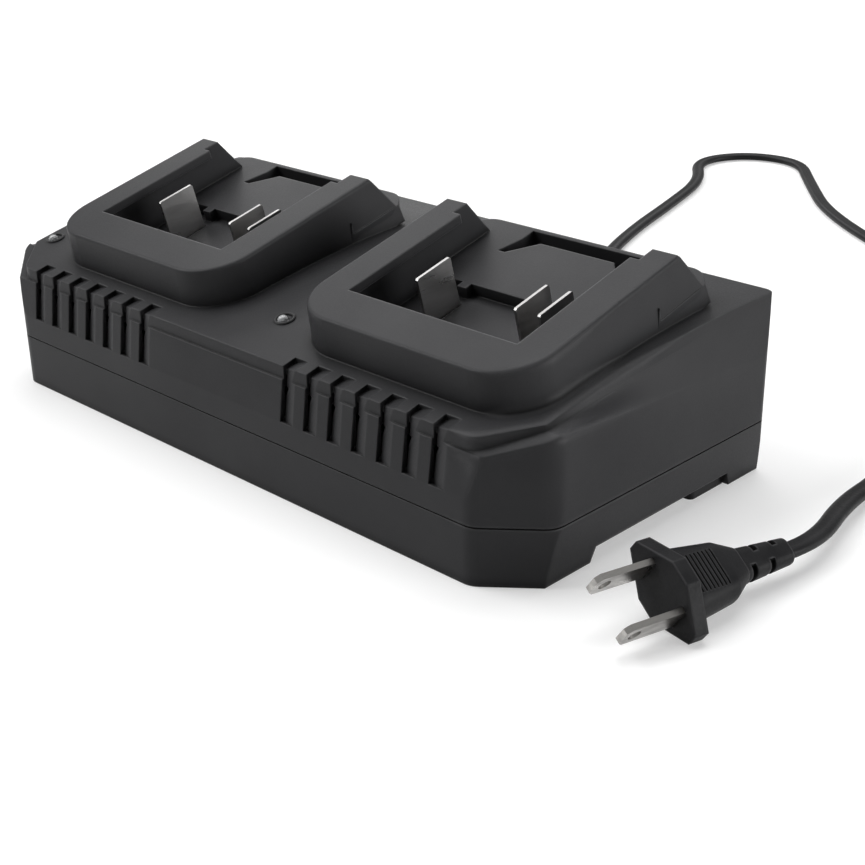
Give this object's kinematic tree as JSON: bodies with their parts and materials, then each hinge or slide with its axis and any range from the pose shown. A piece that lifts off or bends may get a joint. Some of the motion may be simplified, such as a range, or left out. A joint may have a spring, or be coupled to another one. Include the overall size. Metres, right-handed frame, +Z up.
{
  "type": "power tool battery charger",
  "caption": "Desk-standing charger with side-by-side tilted slide-in battery docks, upright contact blades, vented front edge, indicator lights and a flat mains cord with plug.",
  "frame": {"origin": "centre of the housing's footprint, on the surface it stands on (the free cord, its strain relief, coil and plug left out)", "axes": "+X along the housing's long side, -Y towards the vented front edge, +Y towards the cord, +Z up"},
  "size_m": [0.2616, 0.3904, 0.0647],
  "materials": {
    "housing_black": "fine matt textured black plastic",
    "contact_metal": "bright plated sheet",
    "insert_plastic": "plain black insulating plastic",
    "lens_clear": "clear glossy epoxy",
    "component_epoxy": "matt black epoxy",
    "board_laminate": "green coated glass laminate",
    "screw_steel": "zinc plated",
    "sink_aluminium": "plain mill finish",
    "ferrite": "dark grey sintered ferrite",
    "winding_copper": "enamelled copper wire",
    "capacitor_sleeve": "shrunk plastic sleeve",
    "fuse_glass": "glass tube with plated caps",
    "wire_insulation": "plain insulation",
    "cord_pvc": "soft matt black",
    "plug_brass": "nickel plated brass"
  },
  "bodies": {
    "root": {"board_screws": "screw_steel", "bridge_rectifier": "component_epoxy", "bulk_capacitor": "capacitor_sleeve", "charge_controller_left": "component_epoxy", "charge_controller_right": "component_epoxy", "choke_core": "ferrite", "choke_winding": "winding_copper", "circuit_board": "board_laminate", "contact_negative_left": "contact_metal", "contact_negative_right": "contact_metal", "contact_positive_left": "contact_metal", "contact_positive_right": "contact_metal", "contact_signal_left": "contact_metal", "contact_signal_right": "contact_metal", "cord_coil": "cord_pvc", "cord_gland": "cord_pvc", "fuse": "fuse_glass", "fuse_clips": "contact_metal", "housing_screws": "screw_steel", "indicator_light_left": "lens_clear", "indicator_light_right": "lens_clear", "light_leads_left": "wire_insulation", "light_leads_right": "wire_insulation", "lower_housing": "housing_black", "mains_heat_sink": "sink_aluminium", "mains_lead_live": "wire_insulation", "mains_lead_neutral": "wire_insulation", "output_capacitor_a": "capacitor_sleeve", "output_capacitor_b": "capacitor_sleeve", "output_diode": "component_epoxy", "output_heat_sink": "sink_aluminium", "output_leads_left": "wire_insulation", "output_leads_right": "wire_insulation", "plug_blade_a": "plug_brass", "plug_blade_b": "plug_brass", "plug_body": "cord_pvc", "plug_cord": "cord_pvc", "power_cord": "cord_pvc", "switching_transistor": "component_epoxy", "terminal_block_left": "insert_plastic", "terminal_block_right": "insert_plastic", "transformer_bobbin": "insert_plastic", "transformer_core": "ferrite", "transformer_winding": "winding_copper", "upper_housing": "housing_black"}
  },
  "joints": []
}
